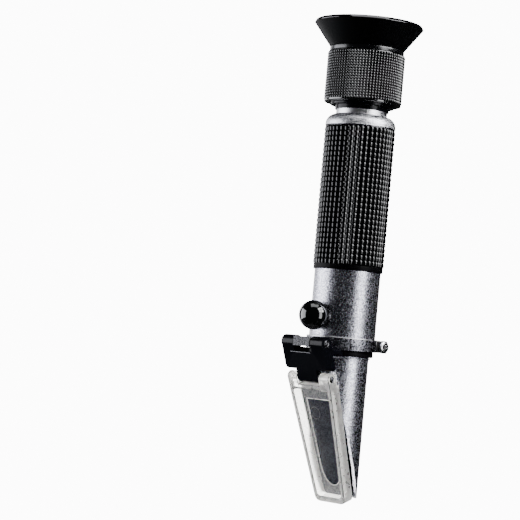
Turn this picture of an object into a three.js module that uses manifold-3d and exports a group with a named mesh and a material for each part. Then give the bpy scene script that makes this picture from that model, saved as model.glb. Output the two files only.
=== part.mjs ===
// Handheld brewing refractometer, modelled as the pieces it comes apart into.
// Millimetres. +X runs along the optical axis towards the eye, +Z is the side that
// carries the daylight plate, and the object rests on the clamp ears and the eyecup rim.

import * as THREE from 'three';
import { mergeVertices } from 'three/addons/utils/BufferGeometryUtils.js';
import Module from 'manifold-3d';

const wasm = await Module();
wasm.setup();

// ---------------------------------------------------------------- driving dimensions

const EYE_END = 86;
const NOSE_END = -85;

const LARGE_FACETS = 36;
const SMALL_FACETS = 24;
const PIN_FACETS = 12;
const RUNNING_GAP = 0.1;
const SEATED_GAP = 0.05;
const PIN_GAP = 0.07;
const CLEARANCE = 1;
const FAR = 30;

// Eyecup and focus ring
const EYECUP = {
  base: 76.7, baseRadius: 13.2, floor: 78.5, rimRadius: 19.5, lip: 1.0, lipRadius: 18.9, wall: 0.8,
};
const RIM_BAND = { from: 75.1, to: 76.6, radius: 13.25 };
const KNURL = { from: 56.85, to: 75.0, radius: 13.9, wall: 1.25 };
const LOWER_STEP = { from: 54.4, to: 55.9, radius: 9.6 };
const UPPER_STEP = { from: 55.9, to: 56.75, radius: 11.35 };
const SPIGOT = { to: 79.3, radius: 10.5, bore: 8.4 };

// Neck and barrel
const NECK = { from: 38, to: 64.5, radius: 9.1, bore: 7.9, lip: 6.6, lipLength: 1 };
const SHOULDER = { from: 48.5, to: 52.65, radius: 12.5, corner: 3.5 };
const BARREL = { from: -30.6, radius: 11.75, bore: 10.3 };
const GRIP = { from: -2.75, to: 48.4, radius: 12.65, bore: 11.85 };

// Clamp band, lug and ears
const BAND = { from: -30.8, to: -26.3, radius: 12.55, bore: 11.85 };
const LUG = { from: -30.5, to: -27.2, halfWidth: 3.95, top: 20.1 };
const EAR = { halfWidth: 4.0, split: 0.5, screwDepth: 17.1 };
const CLAMP_SCREW = { radius: 1.1, headRadius: 2.1, headHeight: 1.4, socketRadius: 0.9, tail: 0.9 };

// Hinge: two pins, both along Y
const UPPER_PIN = { station: -29.2, height: 17.6, radius: 0.8, halfLength: 10.0 };
const LOWER_PIN = { station: -41.3, height: 13.5, radius: 0.7, halfLength: 9.9 };
const LINK = {
  halfWidth: 10.0, wall: 1.0, knuckle: 2.4, flangeDepth: 4.8, end: -38.6, windowEnd: -32.8, sideGap: 0.3,
};
const TONGUE = { halfWidth: 5.0, knuckle: 1.8 };

// Slanted cut of the nose, and the parts that lie in it
const SLANT = THREE.MathUtils.degToRad(20.9);
const CUT_START = -41.5;
const NOSE = { to: -82.4, radius: 10.1, bore: 8.9, plugEnd: -24.3 };
const BEAD = { from: -33.6, to: -32.9, radius: 10.55 };
const SEAL = { from: -32.8, to: -30.8, radius: 11.45, bore: 10.2 };
const SEAT = { from: -81.6, to: -44, radius: 8.8, sink: 0.35, tunnel: 5.4 };
const TUNNEL = { from: -60, to: -40 };
const PRISM = { start: 10.5, end: 38, halfWidth: 5.8, floor: -6.0, gap: 0.15, sink: 0.05 };
const PLATE = {
  gap: 0.35, front: 4.8, floor: 1.2, wall: 1.7, hingeHalfWidth: 10.1, tipHalfWidth: 7.3, corner: 1.2,
};
const PLATE_BAR = { start: 0.9, thickness: 1.2, endThickness: 2.1 };
const PLATE_EAR = { inner: 5.3, radius: 1.95, root: 2, shoulder: 1.6 };

// Calibration screw, cap, and the sliding objective
const CALIBRATION_STATION = -19.4;
const BUSH = { radius: 3.2, bore: 1.6, from: 10.4, to: 15 };
const CAL_SCREW = { radius: 1.45, from: 8.15, to: 14, slot: 0.6, slotDepth: 0.8 };
const CAP = {
  radius: 5.25, centre: 15, skirt: 4.5, bottom: 12.1, skirtTop: 12.3, bore: 3.35, innerTop: 16.4,
};
const GUIDE = { from: -24, to: -16.6, radius: 10.2, bore: 9.0, screwHole: 1.9 };
const CARRIER = { from: -23.6, to: -12.6, radius: 8.6, bore: 6.4, topFlat: 8.0, bottomFlat: -7.7 };
const STRIP = { from: -16.1, to: 3, halfWidth: 2.2, thickness: 0.45 };
const STRIP_SCREWS = { bimetal_screw_fixed: -14.6, bimetal_screw_free: 1.2 };
const STRIP_SCREW_HEAD = { radius: 1.2, height: 0.6 };
const CELL = { from: -1.6, to: 5.6, radius: 8.6, bore: 6.6, lip: 5.8, lipLength: 1 };
const FLINT = { front: -0.4, back: 0.9, frontBulge: 0, backBulge: -0.7 };
const CROWN = { front: 1.1, back: 2.2, frontBulge: -0.7, backBulge: 0.9 };
const OBJECTIVE_RETAINER = { from: 3.4, to: 5.2 };
const SPRING = { from: -23.4, to: -17.2, halfWidth: 1.2, thickness: 0.25, base: -8.85, rise: 0.85 };

// Fixed optics
const BAFFLE = { from: 14, to: 15, bore: 5 };
const RETICLE = { from: 39.2, to: 40.7, radius: 7.8 };
const RETICLE_RING = { from: 40.9, to: 42.9, bore: 6.8 };

// Eyepiece optics
const LENS_CELL = {
  from: 52, head: 67.5, to: 74.5, radius: 7.7, headRadius: 10.2, bore: 6.9, lip: 6.2, lipLength: 1,
};
const FIELD_LENS = { front: 54.2, back: 55.6, frontBulge: 0.9, backBulge: 0 };
const LENS_SPACER = { from: 56, to: 66.9, bore: 6.1 };
const EYE_LENS = { front: 68.4, back: 70.4, frontBulge: 1.2, backBulge: 1.2 };
const EYE_RETAINER = { from: 71.8, to: 74.2, bore: 5.8 };
const CHAMBER = { from: 66.5, to: 74.7, radius: 10.35 };
const O_RING = { from: 58, to: 59.4, groove: 9.95, play: 0.2 };

// The rim rests on a flat facet, so the axis stands one apothem above the surface.
const AXIS_HEIGHT = EYECUP.rimRadius * Math.cos(Math.PI / LARGE_FACETS);

// ---------------------------------------------------------------- shaping helpers

/** Closed lathe geometry about +Y, from [height, radius] pairs. */
function lathe(profile, facets) {
  const points = profile.map(([height, radius]) => new THREE.Vector2(radius, height));
  if (THREE.ShapeUtils.area(points) < 0) points.reverse();
  const endsOnAxis = points[0].x === 0 && points.at(-1).x === 0;
  if (!endsOnAxis) points.push(points[0].clone());
  return new THREE.LatheGeometry(points, facets, Math.PI / facets);
}

/** A piece turned about the optical axis, from [station, radius] pairs. */
function turned(profile, facets = LARGE_FACETS) {
  return lathe(profile, facets).rotateZ(-Math.PI / 2);
}

/** A piece turned about an upright axis at a station, from [height, radius] pairs. */
function turnedUpright(profile, station, facets = SMALL_FACETS) {
  return lathe(profile, facets).rotateX(Math.PI / 2).translate(station, 0, 0);
}

/** A plain tube about the optical axis. */
function tube(from, to, radius, bore, facets = LARGE_FACETS) {
  return turned([[from, bore], [from, radius], [to, radius], [to, bore]], facets);
}

/** A cylinder along Y. */
function crossCylinder(station, height, radius, low, high, facets = PIN_FACETS) {
  return new THREE.CylinderGeometry(radius, radius, high - low, facets)
    .translate(station, (low + high) / 2, height);
}

/** An axis-aligned box from its two corners. */
function block(low, high) {
  const size = high.map((value, axis) => value - low[axis]);
  const centre = high.map((value, axis) => (value + low[axis]) / 2);
  return new THREE.BoxGeometry(...size).translate(...centre);
}

/** An outline of [station, height] points pushed out along Y between two offsets. */
function sideProfile(outline, low, high) {
  const shape = new THREE.Shape(outline.map(([station, height]) => new THREE.Vector2(station, height)));
  return new THREE.ExtrudeGeometry(shape, { depth: high - low, bevelEnabled: false, curveSegments: 6 })
    .rotateX(Math.PI / 2)
    .translate(0, high, 0);
}

/** Points on an arc, angles in degrees, ends included. */
function arc(centre, radius, startDegrees, endDegrees, steps) {
  return Array.from({ length: steps + 1 }, (_, index) => {
    const angle = THREE.MathUtils.degToRad(startDegrees + (endDegrees - startDegrees) * index / steps);
    return [centre[0] + radius * Math.cos(angle), centre[1] + radius * Math.sin(angle)];
  });
}

/** A thin disc about the optical axis. */
function disc(from, to, radius, facets = SMALL_FACETS) {
  return turned([[from, 0], [from, radius], [to, radius], [to, 0]], facets);
}

/** A short upright cylinder at a station. */
function upright(from, to, radius, station, facets = SMALL_FACETS) {
  return turnedUpright([[from, 0], [from, radius], [to, radius], [to, 0]], station, facets);
}

/** A tube whose front end closes in to a lip. */
function lippedTube({ from, to, radius, bore, lip, lipLength }, facets = SMALL_FACETS) {
  return turned([
    [from, lip],
    [from, radius],
    [to, radius],
    [to, bore],
    [from + lipLength, bore],
    [from + lipLength, lip],
  ], facets);
}

/** A lens of revolution; a negative bulge makes that face hollow. */
function lens({ front, back, frontBulge, backBulge }, radius) {
  const steps = 4;
  const radii = Array.from({ length: steps + 1 }, (_, index) => radius * index / steps);
  const sag = (r) => 1 - (r / radius) ** 2;
  const frontFace = radii.map((r) => [front - frontBulge * sag(r), r]);
  const backFace = radii.map((r) => [back + backBulge * sag(r), r]).reverse();
  return turned([...frontFace, ...backFace], SMALL_FACETS);
}

/** A solid for joining and cutting. */
function solid(geometry) {
  const bare = geometry.clone();
  bare.deleteAttribute('normal');
  bare.deleteAttribute('uv');
  const merged = mergeVertices(bare, 1e-4);
  const index = merged.getIndex().array;
  const triangles = [];
  for (let i = 0; i < index.length; i += 3) {
    const [a, b, c] = index.slice(i, i + 3);
    if (a !== b && b !== c && c !== a) triangles.push(a, b, c);
  }
  return new wasm.Manifold(new wasm.Mesh({
    numProp: 3,
    vertProperties: new Float32Array(merged.getAttribute('position').array),
    triVerts: new Uint32Array(triangles),
  }));
}

/** The geometry of a solid. */
function geometryOf(manifold) {
  const mesh = manifold.getMesh();
  const geometry = new THREE.BufferGeometry();
  geometry.setAttribute('position', new THREE.BufferAttribute(mesh.vertProperties, 3));
  geometry.setIndex(new THREE.BufferAttribute(mesh.triVerts, 1));
  return geometry;
}

/** Joins the first list of geometries, then cuts away the second. */
function carve(parts, cuts) {
  const joined = parts.map(solid).reduce((sum, part) => sum.add(part));
  const carved = cuts.map(solid).reduce((rest, cut) => rest.subtract(cut), joined);
  return geometryOf(carved);
}

// ---------------------------------------------------------------- finishes

const FINISHES = {
  satinAluminium: { color: 0xb4b6b8, roughness: 0.38, metalness: 0.9 },
  brightSteel: { color: 0xc8cacc, roughness: 0.25, metalness: 1 },
  blackAnodised: { color: 0x141516, roughness: 0.45, metalness: 0.4 },
  blackRubber: { color: 0x16171a, roughness: 0.65, metalness: 0 },
  glossBlack: { color: 0x050506, roughness: 0.08, metalness: 0 },
  clearPlastic: { color: 0xd9dee0, roughness: 0.25, metalness: 0 },
  opticalGlass: { color: 0x5c6f80, roughness: 0.04, metalness: 0 },
  lensGlass: { color: 0xcfe0ee, roughness: 0.03, metalness: 0 },
  brass: { color: 0xb08d3c, roughness: 0.35, metalness: 1 },
  springSteel: { color: 0x8d8f92, roughness: 0.3, metalness: 1 },
};

function piece(name, geometry, finish) {
  const mesh = new THREE.Mesh(geometry, new THREE.MeshStandardMaterial(FINISHES[finish]));
  mesh.name = name;
  return mesh;
}

// ---------------------------------------------------------------- barrel and neck

function barrelPieces() {
  const cornerCentre = [SHOULDER.to - SHOULDER.corner, SHOULDER.radius - SHOULDER.corner];
  const profile = [
    [BARREL.from, BARREL.bore],
    [BARREL.from, BARREL.radius],
    [SHOULDER.from, BARREL.radius],
    [SHOULDER.from, SHOULDER.radius],
    ...arc(cornerCentre, SHOULDER.corner, 90, 4, 5),
    [SHOULDER.to, NECK.radius + RUNNING_GAP],
    [NECK.from, NECK.radius + RUNNING_GAP],
    [NECK.from, BARREL.bore],
  ];
  const bushHole = upright(BARREL.bore / 2, BUSH.to, BUSH.radius + RUNNING_GAP, CALIBRATION_STATION);
  const baffle = tube(BAFFLE.from, BAFFLE.to, GUIDE.radius, BAFFLE.bore, SMALL_FACETS);
  const ring = tube(RETICLE_RING.from, RETICLE_RING.to, RETICLE.radius, RETICLE_RING.bore, SMALL_FACETS);
  return [
    piece('main_tube', carve([turned(profile)], [bushHole]), 'satinAluminium'),
    piece('grip_sleeve', tube(GRIP.from, GRIP.to, GRIP.radius, GRIP.bore), 'blackRubber'),
    piece('eyepiece_neck', lippedTube(NECK, LARGE_FACETS), 'satinAluminium'),
    piece('light_baffle', baffle, 'blackAnodised'),
    piece('reticle_glass', disc(RETICLE.from, RETICLE.to, RETICLE.radius), 'lensGlass'),
    piece('reticle_ring', ring, 'blackAnodised'),
  ];
}

// ---------------------------------------------------------------- eyepiece

function lensCellPieces() {
  const cell = LENS_CELL;
  const opticRadius = cell.bore - RUNNING_GAP;
  const profile = [
    [cell.from, cell.lip],
    [cell.from, cell.radius],
    [cell.head, cell.radius],
    [cell.head, cell.headRadius],
    [cell.to, cell.headRadius],
    [cell.to, cell.bore],
    [cell.from + cell.lipLength, cell.bore],
    [cell.from + cell.lipLength, cell.lip],
  ];
  const spacer = tube(LENS_SPACER.from, LENS_SPACER.to, opticRadius, LENS_SPACER.bore, SMALL_FACETS);
  const retainer = tube(EYE_RETAINER.from, EYE_RETAINER.to, opticRadius, EYE_RETAINER.bore, SMALL_FACETS);
  return [
    piece('eye_lens_cell', turned(profile, SMALL_FACETS), 'blackAnodised'),
    piece('field_lens', lens(FIELD_LENS, opticRadius), 'lensGlass'),
    piece('lens_spacer', spacer, 'blackAnodised'),
    piece('eye_lens', lens(EYE_LENS, opticRadius), 'lensGlass'),
    piece('eye_lens_retainer', retainer, 'blackAnodised'),
  ];
}

function focusRingPieces() {
  const bore = NECK.radius + RUNNING_GAP;
  const underKnurl = KNURL.radius - KNURL.wall - RUNNING_GAP;
  const profile = [
    [LOWER_STEP.from, bore],
    [LOWER_STEP.from, LOWER_STEP.radius],
    [LOWER_STEP.to, LOWER_STEP.radius],
    [UPPER_STEP.from, UPPER_STEP.radius],
    [UPPER_STEP.to, UPPER_STEP.radius],
    [UPPER_STEP.to, underKnurl],
    [RIM_BAND.from, underKnurl],
    [RIM_BAND.from, RIM_BAND.radius],
    [RIM_BAND.to, RIM_BAND.radius],
    [RIM_BAND.to, SPIGOT.radius],
    [SPIGOT.to, SPIGOT.radius],
    [SPIGOT.to, SPIGOT.bore],
    [CHAMBER.to, SPIGOT.bore],
    [CHAMBER.to, CHAMBER.radius],
    [CHAMBER.from, CHAMBER.radius],
    [CHAMBER.from, bore],
    [O_RING.to, bore],
    [O_RING.to, O_RING.groove],
    [O_RING.from, O_RING.groove],
    [O_RING.from, bore],
  ];
  const eyecup = [
    [EYECUP.base, SPIGOT.radius + RUNNING_GAP],
    [EYECUP.base, EYECUP.baseRadius],
    [EYE_END - EYECUP.lip, EYECUP.rimRadius],
    [EYE_END, EYECUP.lipRadius],
    [EYE_END, EYECUP.lipRadius - EYECUP.wall],
    [EYECUP.floor + EYECUP.lip, EYECUP.baseRadius + EYECUP.wall / 2],
    [EYECUP.floor, EYECUP.baseRadius - EYECUP.wall],
    [EYECUP.floor, SPIGOT.radius + RUNNING_GAP],
  ];
  const ringRadius = O_RING.groove - RUNNING_GAP;
  const oRing = tube(O_RING.from + O_RING.play, O_RING.to - O_RING.play, ringRadius, bore + RUNNING_GAP / 2);
  const sleeve = tube(KNURL.from, KNURL.to, KNURL.radius, KNURL.radius - KNURL.wall);
  return [
    piece('focus_ring', turned(profile), 'blackAnodised'),
    piece('knurled_sleeve', sleeve, 'blackRubber'),
    piece('eyecup', turned(eyecup), 'blackRubber'),
    piece('focus_o_ring', oRing, 'blackRubber'),
  ];
}

// ---------------------------------------------------------------- calibration and objective

function calibrationPieces() {
  const ballStart = THREE.MathUtils.radToDeg(Math.acos((CAP.skirtTop - CAP.centre) / CAP.radius));
  const capProfile = [
    [CAP.innerTop, 0],
    [CAP.innerTop, CAP.bore],
    [CAP.bottom, CAP.bore],
    [CAP.bottom, CAP.skirt],
    ...arc([CAP.centre, 0], CAP.radius, ballStart, 0, 8),
  ];
  const bush = [
    [BUSH.from, BUSH.bore],
    [BUSH.from, BUSH.radius],
    [BUSH.to, BUSH.radius],
    [BUSH.to, BUSH.bore],
  ];
  const screw = upright(CAL_SCREW.from, CAL_SCREW.to, CAL_SCREW.radius, CALIBRATION_STATION);
  const slot = block(
    [CALIBRATION_STATION - CAL_SCREW.slot / 2, -2 * CAL_SCREW.radius, CAL_SCREW.to - CAL_SCREW.slotDepth],
    [CALIBRATION_STATION + CAL_SCREW.slot / 2, 2 * CAL_SCREW.radius, CAL_SCREW.to + CLEARANCE],
  );
  return {
    cap: piece('calibration_cap', turnedUpright(capProfile, CALIBRATION_STATION), 'glossBlack'),
    bush: piece('calibration_bush', turnedUpright(bush, CALIBRATION_STATION), 'brass'),
    screw: piece('calibration_screw', carve([screw], [slot]), 'brass'),
  };
}

/** The ring that guides the lens carrier, with a hole for the screw, and its leaf spring. */
function guidePieces() {
  const screwHole = upright(GUIDE.bore / 2, GUIDE.radius + CLEARANCE, GUIDE.screwHole, CALIBRATION_STATION);
  const ring = carve([tube(GUIDE.from, GUIDE.to, GUIDE.radius, GUIDE.bore)], [screwHole]);
  const middle = (SPRING.from + SPRING.to) / 2;
  const halfSpan = (SPRING.to - SPRING.from) / 2;
  const stations = Array.from({ length: 9 }, (_, index) => SPRING.from + halfSpan * index / 4);
  const bow = (station) => SPRING.base + SPRING.rise * (1 - ((station - middle) / halfSpan) ** 2);
  const outline = [
    ...stations.map((station) => [station, bow(station)]),
    ...stations.reverse().map((station) => [station, bow(station) + SPRING.thickness]),
  ];
  return [
    piece('carriage_guide', ring, 'blackAnodised'),
    piece('return_spring', sideProfile(outline, -SPRING.halfWidth, SPRING.halfWidth), 'springSteel'),
  ];
}

/** The carrier, the bimetal strip and the objective, which move together. */
function objectivePieces() {
  const above = block([-FAR, -FAR, CARRIER.topFlat], [FAR, FAR, FAR]);
  const below = block([-FAR, -FAR, -FAR], [CARRIER.to + CLEARANCE, FAR, CARRIER.bottomFlat]);
  const carrier = tube(CARRIER.from, CARRIER.to, CARRIER.radius, CARRIER.bore, SMALL_FACETS);
  const stripBase = CARRIER.topFlat + SEATED_GAP;
  const strip = block([STRIP.from, -STRIP.halfWidth, stripBase],
    [STRIP.to, STRIP.halfWidth, stripBase + STRIP.thickness]);
  const opticRadius = CELL.bore - RUNNING_GAP;
  const headBase = stripBase + STRIP.thickness + SEATED_GAP;
  const headTop = headBase + STRIP_SCREW_HEAD.height;
  const screwHeads = Object.entries(STRIP_SCREWS).map(([name, station]) => (
    piece(name, upright(headBase, headTop, STRIP_SCREW_HEAD.radius, station, PIN_FACETS), 'brass')
  ));
  const retainer = tube(OBJECTIVE_RETAINER.from, OBJECTIVE_RETAINER.to, opticRadius, CELL.lip, SMALL_FACETS);
  return [
    piece('lens_carrier', carve([carrier], [above, below]), 'brass'),
    piece('bimetal_strip', strip, 'springSteel'),
    piece('objective_cell', carve([lippedTube(CELL)], [above]), 'blackAnodised'),
    piece('objective_flint', lens(FLINT, opticRadius), 'lensGlass'),
    piece('objective_crown', lens(CROWN, opticRadius), 'lensGlass'),
    piece('objective_retainer', retainer, 'blackAnodised'),
    ...screwHeads,
  ];
}

// ---------------------------------------------------------------- clamp band and hinge

/** The clamping collar with its hinge lug above and its two ears below. */
function clampPieces() {
  const earEnd = -AXIS_HEIGHT;
  const lug = block([LUG.from, -LUG.halfWidth, BAND.bore + RUNNING_GAP], [LUG.to, LUG.halfWidth, LUG.top]);
  const ears = block(
    [BAND.from + SEATED_GAP, -EAR.halfWidth, earEnd],
    [BAND.to - SEATED_GAP, EAR.halfWidth, -BAND.bore - SEATED_GAP],
  );
  const split = block(
    [BAND.from - CLEARANCE, -EAR.split, earEnd - CLEARANCE],
    [BAND.to + CLEARANCE, EAR.split, -BARREL.bore],
  );
  const middle = (BAND.from + BAND.to) / 2;
  const along = (radius, low, high, facets) => (
    crossCylinder(middle, -EAR.screwDepth, radius, low, high, facets)
  );
  const screwHole = along(CLAMP_SCREW.radius + RUNNING_GAP, -FAR, FAR);
  const pinHole = crossCylinder(UPPER_PIN.station, UPPER_PIN.height, UPPER_PIN.radius + SEATED_GAP,
    -FAR, FAR);
  const ring = tube(BAND.from, BAND.to, BAND.radius, BAND.bore);
  const side = EAR.halfWidth + SEATED_GAP;
  const headEnd = side + CLAMP_SCREW.headHeight;
  const head = along(CLAMP_SCREW.headRadius, -headEnd, -side, 16);
  const socketFloor = -side - CLAMP_SCREW.headHeight / 3;
  const shank = along(CLAMP_SCREW.radius, socketFloor, side + CLAMP_SCREW.tail);
  const socket = along(CLAMP_SCREW.socketRadius, -headEnd - CLEARANCE, socketFloor, 6);
  const nut = along(CLAMP_SCREW.headRadius, side, headEnd, 6);
  const nutHole = along(CLAMP_SCREW.radius + SEATED_GAP, side - CLEARANCE, headEnd + CLEARANCE);
  const upperPin = crossCylinder(UPPER_PIN.station, UPPER_PIN.height, UPPER_PIN.radius,
    -UPPER_PIN.halfLength, UPPER_PIN.halfLength);
  return [
    piece('clamp_band', carve([ring, lug, ears], [split, screwHole, pinHole]), 'satinAluminium'),
    piece('clamp_screw', carve([head, shank], [socket]), 'brightSteel'),
    piece('clamp_nut', carve([nut], [nutHole]), 'brightSteel'),
    piece('hinge_pin_upper', upperPin, 'brightSteel'),
  ];
}

/** Height of the link's outer face where it runs parallel to the slanted cut. */
function slopedFace(station) {
  const offset = TONGUE.knuckle / Math.cos(SLANT);
  return LOWER_PIN.height + offset + (station - LOWER_PIN.station) * Math.tan(SLANT);
}

/** The black channel: two knuckles, a front plate with a window, two flanges and a tongue. */
function linkPieces() {
  const top = UPPER_PIN.height + LINK.knuckle;
  const bend = LOWER_PIN.station + (top - slopedFace(LOWER_PIN.station)) / Math.tan(SLANT);
  const outer = LINK.halfWidth;
  const inner = LINK.halfWidth - LINK.wall;
  const innerFace = (station) => slopedFace(station) - LINK.wall / Math.cos(SLANT);
  const flangeFloor = (station) => slopedFace(station) - LINK.flangeDepth;
  const flangeBack = UPPER_PIN.station - LINK.knuckle / 2;
  const flange = [
    ...arc([UPPER_PIN.station, UPPER_PIN.height], LINK.knuckle, -60, 90, 6),
    [bend, top],
    [LINK.end, slopedFace(LINK.end)],
    [LINK.end, flangeFloor(LINK.end)],
    [flangeBack, flangeFloor(flangeBack)],
  ];
  const knuckle = arc([UPPER_PIN.station, UPPER_PIN.height], LINK.knuckle, 0, 345, 15);
  const front = [
    [UPPER_PIN.station, top],
    [bend, top],
    [LINK.end, slopedFace(LINK.end)],
    [LINK.end, innerFace(LINK.end)],
    [bend, top - LINK.wall],
    [UPPER_PIN.station, top - LINK.wall],
  ];
  const pinCentre = [LOWER_PIN.station, LOWER_PIN.height];
  const slantDegrees = THREE.MathUtils.radToDeg(SLANT);
  const tongueRoot = LINK.end + LINK.wall / 2;
  const tongue = [
    ...arc(pinCentre, TONGUE.knuckle, 90 + slantDegrees, 330 + slantDegrees, 10),
    [tongueRoot, innerFace(tongueRoot)],
    [tongueRoot, slopedFace(tongueRoot)],
  ];
  const lugSide = LUG.halfWidth + LINK.sideGap;
  const window = block([LINK.windowEnd, -lugSide, 0], [FAR, lugSide, FAR]);
  const upperHole = crossCylinder(UPPER_PIN.station, UPPER_PIN.height, UPPER_PIN.radius + PIN_GAP,
    -FAR, FAR);
  const lowerHole = crossCylinder(...pinCentre, LOWER_PIN.radius + SEATED_GAP, -FAR, FAR);
  const parts = [
    sideProfile(flange, -outer, -inner),
    sideProfile(flange, inner, outer),
    sideProfile(front, -outer, outer),
    sideProfile(knuckle, -outer, -lugSide),
    sideProfile(knuckle, lugSide, outer),
    sideProfile(tongue, -TONGUE.halfWidth, TONGUE.halfWidth),
  ];
  const lowerPin = crossCylinder(...pinCentre, LOWER_PIN.radius,
    -LOWER_PIN.halfLength, LOWER_PIN.halfLength);
  return [
    piece('hinge_link', carve(parts, [window, upperHole, lowerHole]), 'blackAnodised'),
    piece('hinge_pin_lower', lowerPin, 'brightSteel'),
  ];
}

// ---------------------------------------------------------------- slanted nose and plate

/** Puts a geometry made in the slope's own frame (x up the slope, z out of it) in place. */
function onSlope(geometry) {
  return geometry.rotateY(-SLANT).translate(CUT_START, 0, NOSE.radius);
}

/** Everything above the slanted cut, lowered by the given sink. */
function aboveCut(sink) {
  return onSlope(block([3 * -FAR, -FAR, -sink], [2 * FAR, FAR, 2 * FAR]));
}

/** Station and height of a point given by its distance down the slope and out of it. */
function slopePoint(down, out) {
  return [
    CUT_START - down * Math.cos(SLANT) - out * Math.sin(SLANT),
    NOSE.radius - down * Math.sin(SLANT) + out * Math.cos(SLANT),
  ];
}

/** The prism's side outline, grown by a gap all round and carried out of the slope by a rise. */
function prismOutline(gap, rise) {
  const upper = slopePoint(PRISM.start - gap, 0);
  const lower = slopePoint(PRISM.end + gap, 0);
  const floor = PRISM.floor - gap;
  return [
    slopePoint(PRISM.start - gap, rise),
    slopePoint(PRISM.end + gap, rise),
    lower,
    [lower[0], floor],
    [upper[0], floor],
    upper,
  ];
}

function nosePieces() {
  const shell = turned([
    [NOSE.to, NOSE.bore],
    [NOSE.to, NOSE.radius],
    [BEAD.from, NOSE.radius],
    [BEAD.from, BEAD.radius],
    [BEAD.to, BEAD.radius],
    [BEAD.to, NOSE.radius],
    [NOSE.plugEnd, NOSE.radius],
    [NOSE.plugEnd, NOSE.bore],
  ]);
  const core = disc(SEAT.from, SEAT.to, SEAT.radius, LARGE_FACETS);
  const pocketHalf = PRISM.halfWidth + PRISM.gap;
  const pocket = sideProfile(prismOutline(PRISM.gap, CLEARANCE), -pocketHalf, pocketHalf);
  const tunnel = disc(TUNNEL.from, TUNNEL.to, SEAT.tunnel);
  const glass = sideProfile(prismOutline(0, CLEARANCE), -PRISM.halfWidth, PRISM.halfWidth);
  return [
    piece('nose_housing', carve([shell], [aboveCut(0)]), 'satinAluminium'),
    piece('seal_ring', tube(SEAL.from, SEAL.to, SEAL.radius, SEAL.bore), 'blackRubber'),
    piece('prism_seat', carve([core], [aboveCut(SEAT.sink), pocket, tunnel]), 'blackAnodised'),
    piece('prism', carve([glass], [aboveCut(PRISM.sink)]), 'opticalGlass'),
  ];
}

/** The clear tray: a tapered floor with raised walls, two ears and an end bar. */
function daylightPlate() {
  const front = PLATE.front;
  const end = (CUT_START - NOSE_END - front * Math.sin(SLANT)) / Math.cos(SLANT);
  const start = PLATE_BAR.start;
  const outline = (inset, from, to) => {
    const halfWidth = (down) => PLATE.hingeHalfWidth - inset
      + (PLATE.tipHalfWidth - PLATE.hingeHalfWidth) * (down - start) / (end - start);
    const corners = [
      [-from, -halfWidth(from)],
      [-to + PLATE.corner, -halfWidth(to)],
      [-to, -halfWidth(to) + PLATE.corner],
      [-to, halfWidth(to) - PLATE.corner],
      [-to + PLATE.corner, halfWidth(to)],
      [-from, halfWidth(from)],
    ];
    return new THREE.Shape(corners.map(([x, y]) => new THREE.Vector2(x, y)));
  };
  const slab = (shape, low, high) => (
    new THREE.ExtrudeGeometry(shape, { depth: high - low, bevelEnabled: false }).translate(0, 0, low)
  );
  const tray = slab(outline(0, start, end), PLATE.gap, front);
  const hollow = slab(outline(PLATE.wall, start + PLATE_BAR.thickness, end - PLATE_BAR.endThickness),
    PLATE.gap + PLATE.floor, front + CLEARANCE);
  const [pinDown, pinOut] = slopeCoordinates(LOWER_PIN.station, LOWER_PIN.height);
  const earOutline = [
    ...arc([-pinDown, pinOut], PLATE_EAR.radius, 90, -70, 8),
    [-start - PLATE_EAR.root, PLATE.gap],
    [-start - PLATE_EAR.root, pinOut + PLATE_EAR.shoulder],
  ];
  const ears = [
    sideProfile(earOutline, -PLATE.hingeHalfWidth, -PLATE_EAR.inner),
    sideProfile(earOutline, PLATE_EAR.inner, PLATE.hingeHalfWidth),
  ];
  const pinHole = crossCylinder(-pinDown, pinOut, LOWER_PIN.radius + PIN_GAP, -FAR, FAR);
  const openTray = carve([tray], [hollow]);
  const mesh = piece('daylight_plate', carve([openTray, ...ears], [pinHole]), 'clearPlastic');
  mesh.position.set(CUT_START, 0, NOSE.radius);
  mesh.rotation.y = -SLANT;
  return mesh;
}

/** Distance down the slope and out of it of a given station and height. */
function slopeCoordinates(station, height) {
  const along = station - CUT_START;
  const rise = height - NOSE.radius;
  return [
    -along * Math.cos(SLANT) - rise * Math.sin(SLANT),
    -along * Math.sin(SLANT) + rise * Math.cos(SLANT),
  ];
}

// ---------------------------------------------------------------- assembly

const calibration = calibrationPieces();
const refractometer = new THREE.Group();
refractometer.position.z = AXIS_HEIGHT;
refractometer.add(
  ...barrelPieces(),
  ...nosePieces(),
  ...clampPieces(),
  ...guidePieces(),
  calibration.bush,
  calibration.screw,
  calibration.cap,
  ...objectivePieces(),
  ...linkPieces(),
  daylightPlate(),
  ...lensCellPieces(),
  ...focusRingPieces(),
);

export default refractometer;
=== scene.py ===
"""Looks of the handheld refractometer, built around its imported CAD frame.

Lengths in the shape functions are millimetres, as [station, radius] or [station, height]
measured from the optical axis. Station runs along +X, height along +Z.
"""
import math

import bmesh
import bpy
from mathutils import Matrix, Vector


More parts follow.
